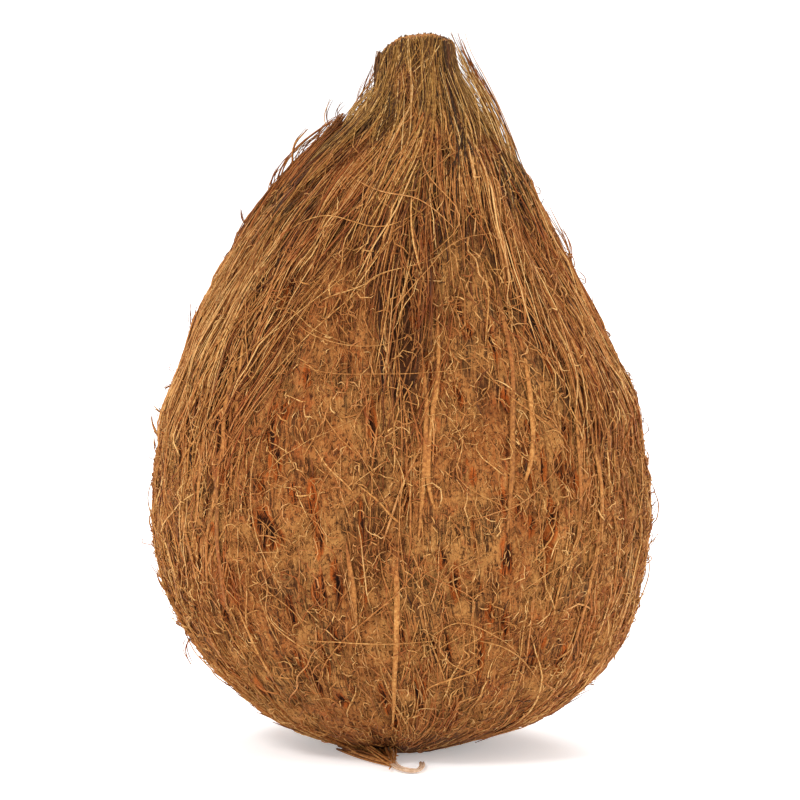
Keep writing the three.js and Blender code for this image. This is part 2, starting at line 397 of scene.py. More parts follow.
def spun_mat():
    """The profile spun around the axis, and closed at both poles."""
    bm = bmesh.new()
    line = [bm.verts.new((r, 0, z)) for r, z in mat_profile()]
    edges = [bm.edges.new(pair) for pair in zip(line, line[1:])]
    turn = {"axis": (0, 0, 1), "cent": (0, 0, 0), "angle": TAU, "steps": COLUMNS}
    bmesh.ops.spin(bm, geom=line + edges, use_merge=True, **turn)
    bmesh.ops.remove_doubles(bm, verts=bm.verts, dist=0.001 * MM)
    bmesh.ops.recalc_face_normals(bm, faces=bm.faces)
    return bm


mat_bm = spun_mat()
print("the spun mat has", len(mat_bm.faces), "faces")


# %% Press the relief into it
CRUMB_COVER = 0.6  # share of the crumbs that the loose fibres press flat
FLOOR_GAP = 0.1 * MM  # height that the mat keeps over the floor around the flat spot
CUT_DEPTH, CUT_ROUGHNESS = 1.3 * MM, 0.7 * MM  # of the mat under the cut ends of the tuft


def mat_places(places):
    """Where each point of the spun mat goes, and what its finish needs to know."""
    radius = np.hypot(places[:, 0], places[:, 1])
    share = np.clip(places[:, 2] / HEIGHT, 0, 1)
    angle = np.arctan2(places[:, 1], places[:, 0])
    inward = np.clip(radius / (HALF_WIDTH * outline(share)), 0, 1)
    angle = angle + sway(angle, share)
    depth, dark = hollow(angle, share)
    crumbs = sum(high * heights(angle, share) for heights, high in CRUMBS)
    crumbs = calmness(share, 0.1) * crumbs * (1 - CRUMB_COVER * drape(angle, share))
    rise = relief(angle, share) + crumbs
    out = rise - depth - CORE_DEPTH * step(share, 0.8, 0.9)
    moved = point(angle, share, out * inward, inward)
    moved[:, 2] = np.where(share < 1e-6, 0, np.maximum(moved[:, 2], FLOOR_GAP))
    ends = wrapped_heights(60, 2, 8)(angle, inward) * CUT_ROUGHNESS - CUT_DEPTH
    moved[:, 2] += np.where(inward < 0.999, ends * (share > 0.5), 0)
    column = angle - sway(angle, share)
    grain = np.stack((np.cos(column), np.sin(column), share), 1)
    return moved, grain, np.stack((dark, drape(angle, share), rise / MM), 1)


# %% [markdown]
# ## Meshes from arrays
# A piece is finished in the same few moves each time: its mesh gets an object at the origin, a
# material and a body to ride on. The map named OFBake lays the surface out flat for whoever
# bakes it.

# %% Helpers that finish a piece
def read_places(mesh):
    """Where the points of the mesh are."""
    places = np.empty(len(mesh.vertices) * 3, np.float32)
    mesh.vertices.foreach_get("co", places)
    return places.reshape(-1, 3).astype(float)


def write_places(mesh, places):
    """Moves the points of the mesh."""
    mesh.vertices.foreach_set("co", places.astype(np.float32).ravel())


def write_values(mesh, name, values):
    """Keeps three numbers for each point of the mesh, which a finish can read."""
    layer = mesh.attributes.new(name, "FLOAT_VECTOR", "POINT")
    layer.data.foreach_set("vector", np.ascontiguousarray(values, np.float32).ravel())


def finished(name, mesh, material):
    """Puts a finished mesh in the scene as a piece of the coconut."""
    mesh.name = name
    mesh.polygons.foreach_set("use_smooth", np.ones(len(mesh.polygons), bool))
    mesh.materials.clear()
    mesh.materials.append(material)
    piece = bpy.data.objects.new(name, mesh)
    bpy.context.scene.collection.objects.link(piece)
    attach(piece, "root")
    faces = sum(len(face.vertices) - 2 for face in mesh.polygons)
    print(f"{name}: {faces} triangles")
    return piece


def corner_vertices(mesh):
    """The vertex and the face of each face corner."""
    corners = np.empty(len(mesh.loops), np.int32)
    mesh.loops.foreach_get("vertex_index", corners)
    sizes = np.empty(len(mesh.polygons), np.int32)
    mesh.polygons.foreach_get("loop_total", sizes)
    return corners, np.repeat(np.arange(len(sizes)), sizes)


# %% [markdown]
# ## Finishes
# Shader maths reads best as Python. A Signal wraps one socket, and adding, scaling or subtracting
# Signals adds the Math nodes. A Finish owns a material, and its one method adds any other node.

# %% Sockets that do sums
class Signal:
    """An output socket that Python's operators work on, each adding a Math node."""

    def __init__(self, finish, socket):
        self.finish = finish
        self.socket = socket

    def _math(self, operation, *values):
        return self.finish.node("ShaderNodeMath", {"operation": operation}, dict(enumerate(values)))

    def __add__(self, other):
        return self._math("ADD", self, other)

    def __sub__(self, other):
        return self._math("SUBTRACT", self, other)

    def __rsub__(self, other):
        return self._math("SUBTRACT", other, self)

    def __mul__(self, other):
        return self._math("MULTIPLY", self, other)

    def between(self, low, high):
        """0 below low, 1 above high."""
        values = {"Value": self, "From Min": low, "From Max": high}
        return self.finish.node("ShaderNodeMapRange", {"interpolation_type": "SMOOTHSTEP"}, values)

    __radd__ = __add__
    __rmul__ = __mul__


class Finish:
    """A material built node by node."""

    def __init__(self, name):
        self.material = bpy.data.materials.new(name)
        self.material.use_nodes = True
        self.nodes = self.material.node_tree.nodes
        self.links = self.material.node_tree.links
        self.nodes.clear()

    def node(self, kind, settings=None, values=None, output=0):
        """Adds a node, sets it up, feeds its sockets, and returns one of its outputs."""
        made = self.nodes.new(kind)
        for name, setting in (settings or {}).items():
            if name == "stops":
                self.set_stops(made.color_ramp, setting)
            else:
                setattr(made, name, setting)
        for socket, value in (values or {}).items():
            if isinstance(value, Signal):
                self.links.new(value.socket, made.inputs[socket])
            else:
                made.inputs[socket].default_value = value
        return Signal(self, made.outputs[output]) if made.outputs else None

    def set_stops(self, ramp, stops):
        while len(ramp.elements) < len(stops):
            ramp.elements.new(0.5)
        for element, (place, shade) in zip(ramp.elements, stops):
            element.position, element.color = place, shade

    def mix(self, share, a, b):
        """Mixes two colours."""
        return self.node("ShaderNodeMix", {"data_type": "RGBA"}, {0: share, 6: a, 7: b}, 2)

    def noise(self, place, scale, detail, roughness=0.5):
        values = {"Vector": place, "Scale": scale, "Detail": detail, "Roughness": roughness}
        return self.node("ShaderNodeTexNoise", {}, values)

    def parts(self, attribute):
        """The three numbers that a piece keeps under this name at each of its points."""
        kept = self.node("ShaderNodeAttribute", {"attribute_name": attribute}, {}, "Vector")
        split = self.nodes.new("ShaderNodeSeparateXYZ")
        self.links.new(kept.socket, split.inputs[0])
        return [Signal(self, output) for output in split.outputs]

    def surface(self, values):
        """Ends the material in a Principled shader with these values."""
        shader = self.node("ShaderNodeBsdfPrincipled", {}, values)
        self.node("ShaderNodeOutputMaterial", {}, {"Surface": shader})
        return self.material


def shade(red, green, blue):
    """A colour as it looks on a screen, from 0 to 255, in the linear numbers that shaders use."""
    parts = [c / 255 for c in (red, green, blue)]
    return tuple(c / 12.92 if c <= 0.04045 else ((c + 0.055) / 1.055) ** 2.4 for c in parts) + (1.0,)


# %% [markdown]
# ## Finish of the mat
# The mat is pith, the cork-like crumb that holds coir together, with fibre ends set in it. Its
# colour drifts between red-brown and tan over a finger's width, and fine streaks run along the
# fibres. Painted shade darkens it in every gap, crack and hole, and under the loose fibres. The
# grain attribute wraps those streaks around the nut, so they close in on each other in the tuft
# as the fibres do.

# %% Pith and set-in fibres
def make_mat_finish():
    """Pith with streaks, crumbs, cracks and pits."""
    finish = Finish("coir_mat")
    place = finish.node("ShaderNodeTexCoord", {}, {}, "Object")
    grain = finish.node("ShaderNodeAttribute", {"attribute_name": "grain"}, {}, "Vector")
    dark, loose, rise = finish.parts("state")
    long_grain = finish.node("ShaderNodeVectorMath", {"operation": "MULTIPLY"}, {0: grain, 1: (1, 1, 0.16)})
    short_grain = finish.node("ShaderNodeVectorMath", {"operation": "MULTIPLY"}, {0: grain, 1: (1, 1, 0.8)})

    drift = finish.noise(place, 60, 3)
    patches = finish.noise(place, 170, 3)
    stain = finish.noise(place, 95, 4)
    crumb = finish.noise(place, 1100, 6, 0.8)
    flake = finish.noise(short_grain, 80, 6, 0.75)
    streak = finish.noise(long_grain, 150, 3)
    thread = finish.noise(long_grain, 52, 3, 0.6)
    crack = thread.between(0.43, 0.5) * (1 - thread.between(0.5, 0.57))
    pit = dark * ((crumb - 0.5) * 2.4 + 1)

    ground = finish.mix(drift.between(0.38, 0.62), shade(150, 88, 41), shade(167, 113, 59))
    layers = [
        (patches.between(0.54, 0.66) * 0.5, shade(158, 76, 32)),  # red-brown pith
        (stain.between(0.6, 0.7) * 0.5, shade(96, 68, 42)),  # grey stains
        (flake.between(0.52, 0.64) * 0.6, shade(190, 138, 76)),  # tan flakes
        (streak.between(0.54, 0.66) * 0.35, shade(186, 136, 78)),  # set-in fibres
        (crumb.between(0.56, 0.66) * 0.5, shade(190, 138, 80)),  # tops of the crumbs
        # painted shade in the gaps between the crumbs
        (crumb.between(0.49, 0.4) * 0.88, shade(64, 31, 11)),  # gaps between the crumbs
        # painted shade in the gaps between the flakes
        (flake.between(0.46, 0.36) * 0.88, shade(60, 29, 10)),  # gaps between the flakes
        # painted shade on the low ground between the lumps
        (rise.between(-0.2, -1.2) * 0.55, shade(72, 36, 13)),  # low ground between the lumps
        (loose * 0.9, shade(44, 22, 8)),  # shade under the loose fibres
        # painted shade of cracks along the fibres
        (crack * stain.between(0.5, 0.56) * 0.8, shade(40, 19, 7)),  # cracks along the fibres
        (pit.between(0.1, 0.3) * 0.7, shade(172, 80, 24)),  # orange rims of the holes
        # painted shade of cracks that run into a hole
        (crack * dark.between(0.06, 0.3), shade(26, 12, 5)),  # cracks that run into a hole
        # painted shade on the floors of the holes
        (pit.between(0.45, 0.8) * 0.92, shade(30, 14, 6)),  # floors of the holes
    ]
    for share, colour in layers:
        ground = finish.mix(share, ground, colour)

    height = crumb * 0.6 + flake * 0.9 + streak * 0.4
    bump = finish.node("ShaderNodeBump", {}, {"Strength": 0.9, "Distance": 0.8 * MM, "Height": height})
    values = {"Base Color": ground, "Roughness": 0.9, "Specular IOR Level": 0.12, "Normal": bump}
    return finish.surface(values)


mat_finish = make_mat_finish()
print("finish made:", mat_finish.name)


# %% Make the mat a piece
def map_mat(mesh, places):
    """Lays the spun mat out flat: its turn across the map, its profile from pole to pole up it."""
    corners, face = corner_vertices(mesh)
    turn = (np.arctan2(places[:, 1], places[:, 0]) / TAU % 1)[corners]
    highest = np.zeros(len(mesh.polygons))
    np.maximum.at(highest, face, turn)
    turn = np.where(highest[face] - turn > 0.5, turn + 1, turn)
    profile = mat_profile()
    run = np.cumsum(np.r_[0, np.hypot(*np.diff(profile, axis=0).T)])
    radius = np.hypot(places[:, 0], places[:, 1])
    side = slice(BASE_POINTS, BASE_POINTS + SIDE_POINTS)
    on_side = np.interp(places[:, 2], profile[side, 1], run[side])
    on_cut = places[:, 2] > HEIGHT - 1e-7
    up = np.where(places[:, 2] < 1e-7, radius, np.where(on_cut, run[-1] - radius, on_side))
    layer = mesh.uv_layers.new(name="OFBake")
    layer.data.foreach_set("uv", np.stack((turn, up[corners] / run[-1]), 1).astype(np.float32).ravel())


def make_mat(bm):
    """The spun mat with its relief, its finish and its map."""
    mesh = bpy.data.meshes.new("coir_mat")
    bm.to_mesh(mesh)
    bm.free()
    places = read_places(mesh)
    moved, grain, state = mat_places(places)
    write_places(mesh, moved)
    write_values(mesh, "grain", grain)
    write_values(mesh, "state", state)
    map_mat(mesh, places)
    return finished("coir_mat", mesh, mat_finish)


coir_mat = make_mat(mat_bm)
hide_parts("coconut")

# %% [markdown]
# ## Fibres
# A fibre is a slim tube that thins towards its ends. The finest have three sides and the coarsest
# six. Blender draws them: a curve object can hold thousands of splines, and a small triangle as
# its bevel gives every one of them a body at once. The curve is then made a mesh, because a mesh
# can hold a tone for every fibre.

# %% Many tubes in one mesh
def section(sides):
    """A small closed outline, one metre in radius, that the tubes are drawn with."""
    curve = bpy.data.curves.new("section", "CURVE")
    ring = curve.splines.new("POLY")
    ring.points.add(sides - 1)
    turns = np.arange(sides) * TAU / sides
    places = np.stack((np.cos(turns), np.sin(turns), np.zeros(sides), np.ones(sides)), 1)
    ring.points.foreach_set("co", places.ravel())
    ring.use_cyclic_u = True
    return bpy.data.objects.new("section", curve)


def tubes(name, routes, radii, sides):
    """A mesh of closed tubes along the routes, whose points have the order of the routes."""
    outline_object = section(sides)
    curve = bpy.data.curves.new(name, "CURVE")
    curve.dimensions = "3D"
    curve.bevel_mode = "OBJECT"
    curve.bevel_object = outline_object
    ones = np.ones((routes.shape[1], 1))
    for route, radius in zip(routes, radii):
        spline = curve.splines.new("POLY")
        spline.points.add(len(route) - 1)
        spline.points.foreach_set("co", np.hstack((route, ones)).ravel())
        spline.points.foreach_set("radius", radius)
    drawn = bpy.data.objects.new(name, curve)
    for helper in (outline_object, drawn):
        bpy.context.scene.collection.objects.link(helper)
    depsgraph = bpy.context.evaluated_depsgraph_get()
    mesh = bpy.data.meshes.new_from_object(drawn.evaluated_get(depsgraph))
    for helper in (drawn, outline_object):
        data = helper.data
        bpy.data.objects.remove(helper)
        bpy.data.curves.remove(data)
    return closed(mesh, sides)


def closed(mesh, sides):
    """Closes the two ends of each tube, and turns all its faces out."""
    bm = bmesh.new()
    bm.from_mesh(mesh)
    bmesh.ops.holes_fill(bm, edges=[edge for edge in bm.edges if edge.is_boundary], sides=sides)
    bmesh.ops.recalc_face_normals(bm, faces=bm.faces)
    bm.to_mesh(mesh)
    bm.free()
    while mesh.uv_layers:
        mesh.uv_layers.remove(mesh.uv_layers[0])
    return mesh


# %% [markdown]
# Each fibre also needs a place on the map for baking. They are laid in rows and columns like
# threads on a card, each in a thin cell of its own.

# %% Tones and the map of the fibres
CELL_SHAPE = 9  # how many times as long as wide the cell of a fibre is


def lay_out(mesh, fibres, steps, sides):
    """Gives every fibre its own cell of the map, with its length along the cell."""
    corners, face = corner_vertices(mesh)
    faces = len(mesh.polygons)
    cells_across = max(1, round(math.sqrt(fibres / CELL_SHAPE)))
    cells_up = math.ceil(fibres / cells_across)
    fibre, ring, side = corners // (steps * sides), corners // sides % steps, corners % sides
    last = np.zeros(faces, int)
    np.maximum.at(last, face, side)
    first_ring, last_ring = np.full(faces, steps), np.zeros(faces, int)
    np.minimum.at(first_ring, face, ring)
    np.maximum.at(last_ring, face, ring)
    capped = (first_ring == last_ring)[face]
    wraps = (side == 0) & (last[face] == sides - 1) & ~capped
    around = np.where(wraps, sides, side) / sides
    along = ring / (steps - 1) + np.where(capped, 0.3 * (side % 2) / steps, 0)
    u = (fibre % cells_across + 0.04 + 0.92 * np.clip(along, 0, 1)) / cells_across
    v = (fibre // cells_across + 0.1 + 0.8 * around) / cells_up
    layer = mesh.uv_layers.new(name="OFBake")
    layer.data.foreach_set("uv", np.stack((u, v), 1).astype(np.float32).ravel())


def fibres(name, routes, radii, tones, material, sides=3, press=None):
    """A piece made of many fibres. tones holds a tone and a warmth for each of them."""
    count, steps = routes.shape[:2]
    routes = routes.copy()
    routes[..., 2] = np.maximum(routes[..., 2], radii)
    mesh = tubes(name, routes, radii, sides)
    assert len(mesh.vertices) == count * steps * sides
    if press:
        press(mesh, routes, sides)
    along = np.tile(np.repeat(np.linspace(0, 1, steps), sides), count)
    each = np.repeat(tones, steps * sides, axis=0)
    write_values(mesh, "strand", np.stack((each[:, 0], along, each[:, 1]), 1))
    lay_out(mesh, count, steps, sides)
    return finished(name, mesh, material)


# %% [markdown]
# ## Finish of the fibres
# Coir is golden where it is clean and brown where pith clings to it. Every fibre has a tone of
# its own from nearly black to straw, and some are redder than others. All are painted darker
# towards the root, where they go in among the others: painted shade. A fine mottle along the
# fibre breaks up what is left.

# %% Fibre colours
BROWN_STOPS = [
    (0, shade(48, 23, 8)), (0.3, shade(112, 64, 25)), (0.6, shade(162, 106, 50)),
    (0.85, shade(188, 138, 78)), (1, shade(206, 160, 100)),
]
GOLDEN_STOPS = [
    (0, shade(44, 25, 8)), (0.3, shade(100, 66, 25)), (0.6, shade(152, 108, 49)),
    (0.85, shade(180, 138, 76)), (1, shade(204, 166, 110)),
]
RED_FIBRE = shade(146, 70, 26)


def make_fibre_finish(name, stops, warm):
    """A finish that reads the tone and the warmth of each fibre."""
    finish = Finish(name)
    tone, along, warmth = finish.parts("strand")
    place = finish.node("ShaderNodeTexCoord", {}, {}, "Object")
    mottle = finish.noise(place, 1300, 4, 0.7)
    patches = finish.noise(place, 70, 2)
    # painted shade: every fibre darker towards its root
    level = tone + (mottle - 0.5) * (tone * 1.5 + 0.5) - (1 - along.between(0, 0.25)) * 0.2
    colour = finish.node("ShaderNodeValToRGB", {"stops": stops}, {"Fac": level}, "Color")
    redder = warmth.between(0.35, 1.0) * warm + patches.between(0.5, 0.7) * 0.25
    colour = finish.mix(redder, colour, RED_FIBRE)
    return finish.surface({"Base Color": colour, "Roughness": 0.7, "Specular IOR Level": 0.2})


fibre_finish = make_fibre_finish("coir_fibre", BROWN_STOPS, 0.45)
tuft_finish = make_fibre_finish("coir_tuft", GOLDEN_STOPS, 0.2)
print("finishes made:", fibre_finish.name, tuft_finish.name)


# %% [markdown]
# ## How a fibre runs
# All long fibres start as straight lines on the unrolled nut. Then each gets a slow wave and a
# quicker one, follows the sway of the strands, and is lifted over the skin. Doing this for whole
# arrays at once keeps thousands of fibres quick.

# %% Lines that wander over the nut
NARROW = 4 * MM  # added to the radius, so that a wave stays small where the tuft is narrow
UNEVEN = 0.22  # how much the thickness of the fibres varies


def bundled(rng, count, bundles, spread):
    """Columns of fibres that keep together in bundles, and the bundle of each fibre."""
    middles = (np.arange(bundles) + rng.uniform(-0.5, 0.5, bundles)) * TAU / bundles
    bundle = rng.integers(0, bundles, count)
    return middles[bundle] + rng.normal(0, spread, count), bundle


def wander(rng, count, steps, slow, quick):
    """A slow wave and a quicker one for each fibre, in metres sideways."""
    t = np.linspace(0, 1, steps)
    wave = np.zeros((count, steps))
    for size, low, high in ((slow, 0.4, 1.1), (quick, 1.5, 3.5)):
        beats = rng.uniform(low, high, (count, 1))
        start = rng.uniform(0, TAU, (count, 1))
        wave += rng.normal(0, size, (count, 1)) * np.sin(beats * TAU * t + start)
    return wave


def lines(rng, column, low, high, turn, steps, slow=0.6 * MM, quick=0.15 * MM):
    """Azimuths and height shares along fibres that start at columns and run from low to high."""
    t = np.linspace(0, 1, steps)
    share = low[:, None] + (high - low)[:, None] * t
    aside = wander(rng, len(column), steps, slow, quick) / (HALF_WIDTH * outline(share) + NARROW)
    along_column = column[:, None] + turn[:, None] * t + aside
    return along_column + sway(along_column, share), share


def tapered(rng, count, steps, thick, root=0.8, tip=0.35):
    """Radii that swell from the root and thin to the tip."""
    t = np.linspace(0, 1, steps)
    shape = np.interp(t, (0, 0.2, 0.6, 1), (root, 1, 0.9, tip))
    return thick * rng.lognormal(0, UNEVEN, (count, 1)) * shape


# %% [markdown]
# ## The tuft
# Nearly two thousand fibres rise from the shoulders into the tuft, in bundles that cross each
# other a little. Each has its own depth under the outline. The deeper a fibre lies the darker it
# is, because little light gets down there, and some locks are darker or lighter than the rest.
# Those of the left shoulder lean to the front, and where a hollow parts the fibres they thin out
# and let its dark floor show. The cut is lowest on the left and a little domed.

# %% Tuft fibres
TUFT_FIBRES, TUFT_BUNDLES = 1900, 64
TUFT_SHADES = [
    (-61, 0.17, -0.3), (-113, 0.12, 0.1), (-80, 0.1, 0.12), (-155, 0.25, -0.14), (-35, 0.12, -0.1),
]  # azimuth in degrees, spread in radians, and how much lighter or darker the lock is
LEFT_LEAN = 0.3  # how much further the fibres of the left shoulder turn to the front on their way up
PARTED = 0.95  # share of its thickness that a loose fibre loses over a hollow
BUNDLE_SHARE = 0.45  # how much of the height or depth of a fibre its bundle decides


def toned(rng, count, middle, spread):
    """A tone and a warmth for each fibre. middle is one tone for all, or one for each."""
    tone = np.clip(rng.normal(np.full(count, middle), spread), 0.02, 1)
    return np.stack((tone, rng.uniform(0, 1, count)), 1)


def levels(rng, bundle, bundles):
    """A level from 0 to 1 for each fibre, partly its own and partly that of its bundle."""
    shared = BUNDLE_SHARE * rng.uniform(0, 1, bundles)[bundle]
    return shared + (1 - BUNDLE_SHARE) * rng.uniform(0, 1, len(bundle))


def parted(angle, share):
    """How thick a loose fibre is along its way: it thins out where a hollow parts the fibres."""
    return 1 - PARTED * step(hollow(angle, share)[1], 0.08, 0.45)


def tuft_shade(angle):
    """How much lighter or darker the tuft is in some of its locks."""
    return sum(tone * beside(angle, azimuth, spread) for azimuth, spread, tone in TUFT_SHADES)


def tuft_point(angle, share, out):
    """A point of the tuft, which may lie a little over the cut."""
    places = point(angle, np.clip(share, 0, 1), out)
    places[..., 2] += HEIGHT * np.maximum(share - 1, 0)
    return places


def make_tuft():
    """Fibres from the shoulders up to the cut, the deeper ones darker."""
    rng = np.random.default_rng(21)
    count, steps = TUFT_FIBRES, 12
    column, bundle = bundled(rng, count, TUFT_BUNDLES, 0.045)
    low = np.maximum(rng.uniform(0.66, 0.88, count), dome(column)[1] + rng.uniform(0, 0.05, count))
    high = 1 + rng.normal(0, 0.002, count)
    crossing = rng.uniform(0, 1, count) < 0.25
    turn = rng.normal(0, 0.3, TUFT_BUNDLES)[bundle] + rng.normal(0, np.where(crossing, 0.9, 0.17))
    turn += LEFT_LEAN * left_shoulder(column)
    angle, share = lines(rng, column, low, high, turn, steps, slow=1.4 * MM, quick=0.5 * MM)
    t = np.linspace(0, 1, steps)
    depth = np.where(crossing, 0.15, levels(rng, bundle, TUFT_BUNDLES))
    layer = (1.9 - 1.9 * depth) * MM
    lift = layer[:, None] * np.sin(math.pi * (0.08 + 0.62 * t)) - 0.7 * MM * (1 - t) ** 4
    dive = (depth * 2.6 * MM)[:, None] * step(share, 0.84, 0.97)
    routes = tuft_point(angle, share, relief(angle, np.clip(share, 0, 1)) + lift - dive)
    radii = tapered(rng, count, steps, thick=0.15 * MM, tip=0.75) * parted(angle, share)
    middle = 0.5 - 0.8 * depth + tuft_shade(angle[:, steps // 2])
    return fibres("tuft_fibres", routes, radii, toned(rng, count, middle, 0.28), tuft_finish)


make_tuft()

# %% [markdown]
# On the right of the neck, and a little on its left, fibres stand off the rest and run straight
# from the shoulder to their ends, so light shows between them. A straight run is a chord: its
# distance from the axis changes evenly from one end to the other.

# %% Fibres that stand off the neck
LOOSE_TUFT_FIBRES = 190


def make_loose_tuft():
    """Fibres that stand off the neck, most of them on its right."""
    rng = np.random.default_rng(23)
    count, steps = LOOSE_TUFT_FIBRES, 12
    on_left = rng.uniform(0, 1, count) < 0.3
    column = np.where(on_left, rng.normal(math.pi, 0.7, count), rng.normal(-0.2, 0.75, count))
    low = np.where(on_left, rng.uniform(0.865, 0.9, count), rng.uniform(0.74, 0.88, count))
    short = np.minimum(rng.exponential(0.05, count), 0.11)
    high = np.where(on_left, rng.uniform(0.93, 0.98, count), 1.002 - short)
    turn = rng.normal(0, 0.12, count)
    angle, share = lines(rng, column, low, high, turn, steps, slow=0.5 * MM, quick=0.12 * MM)
    t = np.linspace(0, 1, steps)
    ends = skin(angle[:, [0, -1]], share[:, [0, -1]].clip(0, 1))
    chord = ends[:, :1] * (1 - t) + ends[:, 1:] * t
    bow, lag = rng.uniform(-0.6, 1.2, (count, 1)), rng.uniform(0, 4.4, (count, 1))
    away = (bow * np.sin(math.pi * t) - lag * t) * MM
    out = chord + away - skin(angle, share.clip(0, 1)) - 1.0 * MM * (1 - t) ** 3
    radii = tapered(rng, count, steps, thick=0.11 * MM, tip=0.55)
    tones = toned(rng, count, 0.74, 0.18)
    return fibres("loose_tuft_fibres", tuft_point(angle, share, out), radii, tones, tuft_finish)


make_loose_tuft()


# %% [markdown]
# The cut face of the tuft shows fibre ends side by side. They are short upright stubs, spread
# evenly over the round by the golden angle.

# %% Cut ends
CUT_ENDS = 900
GOLDEN_ANGLE = math.pi * (3 - math.sqrt(5))


def make_cut_ends():
    """Upright stubs over the whole cut."""
    rng = np.random.default_rng(22)
    count, steps = CUT_ENDS, 3
    k = np.arange(count)
    angle = k * GOLDEN_ANGLE
    inward = np.sqrt((k + 0.5) / count) * 0.97
    whole = np.ones(count)
    top = point(angle, whole, -gap(angle, whole) * inward, inward)
    length = rng.uniform(3, 5, count) * MM
    rise = rng.normal(0.2, 0.13, count) * MM
    t = np.linspace(0, 1, steps)[None, :, None]
    lower = top + np.stack((rng.normal(0, 0.3, count) * MM, rng.normal(0, 0.3, count) * MM, -length), 1)
    upper = top + np.stack((rng.normal(0, 0.15, count) * MM, rng.normal(0, 0.15, count) * MM, rise), 1)
    routes = lower[:, None] * (1 - t) + upper[:, None] * t
    radii = tapered(rng, count, steps, thick=0.23 * MM, root=1, tip=0.95)
    return fibres("cut_ends", routes, radii, toned(rng, count, 0.66, 0.16), fibre_finish, sides=4)


make_cut_ends()

# %% [markdown]
# ## The drape
# Below the tuft the long fibres hang over the shoulders and end in a ragged fringe. They cover
# the strips between the domes far down, and leave the domes bare. A fibre starts at the fringe of
# its own column and climbs into the tuft. Fibres of one bundle share a direction and, in part, a
# height over the mat, so dark gaps open between the bundles. The lower a fibre lies, the darker its
# tone is painted, as painted shade. On the left shoulder the bundles stand highest, are lightest,
# and lean to the front. In the middle they are a little darker.

# %% Drape fibres
DRAPE_FIBRES, DRAPE_BUNDLES = 2500, 112


def make_drape():
    """Loose fibres from their fringe, over the shoulders and into the tuft."""
    rng = np.random.default_rng(31)
    count, steps = DRAPE_FIBRES, 12
    column, bundle = bundled(rng, count, DRAPE_BUNDLES, 0.016)
    fringe = dome(column)[1] + rng.normal(-0.01, 0.04, count)
    fringe = np.where(rng.uniform(0, 1, count) < 0.3, fringe + rng.uniform(0, 0.2, count), fringe)
    left = beside(column, -165, 0.5)
    low = np.clip(fringe, 0.36, 0.86)
    high = np.clip(low + rng.uniform(0.12, 0.32, count), 0.6, 0.93 - 0.04 * left)
    crossing = rng.uniform(0, 1, count) < 0.15
    turn = rng.normal(0, 0.13, DRAPE_BUNDLES)[bundle] + rng.normal(0, np.where(crossing, 0.35, 0.05))
    turn += LEFT_LEAN * left_shoulder(column)
    angle, share = lines(rng, column, low, high, turn, steps, slow=0.6 * MM, quick=0.25 * MM)
    t = np.linspace(0, 1, steps)
    height = levels(rng, bundle, DRAPE_BUNDLES)
    layer = (0.1 + height * (1.8 + 0.8 * left)) * MM
    ends = 0.5 * MM * ((1 - t) ** 5 + t**5)
    out = relief(angle, share) + layer[:, None] * np.sin(math.pi * (0.1 + 0.85 * t)) - ends
    radii = tapered(rng, count, steps, thick=0.155 * MM, root=0.4, tip=0.6) * parted(angle, share)
    # lower bundles get a darker tone: painted shade
    tones = toned(rng, count, 0.04 + 0.78 * height + 0.26 * left - 0.1 * beside(column, -88, 0.6), 0.24)
    return fibres("drape_fibres", point(angle, share, out), radii, tones, fibre_finish)


make_drape()

# %% [markdown]
# ## Strands of the mat
# On the nut itself the fibres lie close together and half sunk in the pith. They come in bundles:
# most fibres share a column with a few others, and dark gaps show between the bundles. The domes
# and the nut below them carry few, so of the places that are drawn there most are left out.

# %% Mat strands
MAT_STRANDS, MAT_BUNDLES = 2300, 170
BARE = 0.88  # share of the fibres that the middle of a dome lacks


def make_strands():
    """Fibres half sunk in the mat, in bundles and alone."""
    rng = np.random.default_rng(41)
    drawn, steps = 2 * MAT_STRANDS, 10
    column, bundle = bundled(rng, drawn, MAT_BUNDLES, 0.012)
    astray = rng.uniform(0, 1, drawn) < 0.4
    column = np.where(astray, rng.uniform(0, TAU, drawn), column)
    kept = np.flatnonzero(rng.uniform(0, 1, drawn) > BARE * dome(column)[0])[:MAT_STRANDS]
    column, astray, count = column[kept], astray[kept], len(kept)
    middle = rng.uniform(0.02, 0.74, count)
    half = rng.uniform(0.03, 0.12, count) * (1 - 0.4 * dome(column)[0])
    low, high = np.clip(middle - half, 0.012, 0.8), np.clip(middle + half, 0.05, 0.86)
    turn = rng.normal(0, np.where(astray, 0.13, 0.05))
    angle, share = lines(rng, column, low, high, turn, steps, slow=0.8 * MM, quick=0.32 * MM)
    t = np.linspace(0, 1, steps)
    height = rng.uniform(0, 1, count)
    lift = (0.75 * height[:, None] - 0.1) * MM * np.sin(math.pi * t) ** 0.5
    out = relief(angle, share) + lift - 0.45 * MM * (2 * t - 1) ** 6
    radii = tapered(rng, count, steps, thick=0.18 * MM, root=0.5, tip=0.4)
    # strands that lie lower get a darker tone: painted shade
    tones = toned(rng, count, 0.32 + 0.4 * height, 0.18)
    return fibres("mat_strands", point(angle, share, out), radii, tones, fibre_finish)


make_strands()

# %% [markdown]
# ## Curls
# Torn fibre ends curl up out of the pith all over the nut, most of all on the domes and the lower
# half. Each is a short arc in any direction that lies on the skin and rises in its middle. There
# are two sizes of them: long ones in five straight pieces, and crumbs of fibre in three. Most of
# those that would lie hidden under the loose fibres are left out.

# %% Curly ends
CURLS, SHORT_CURLS = 5800, 3600
UNDER_DRAPE = 0.7  # share of the curls that is left out where loose fibres cover the nut


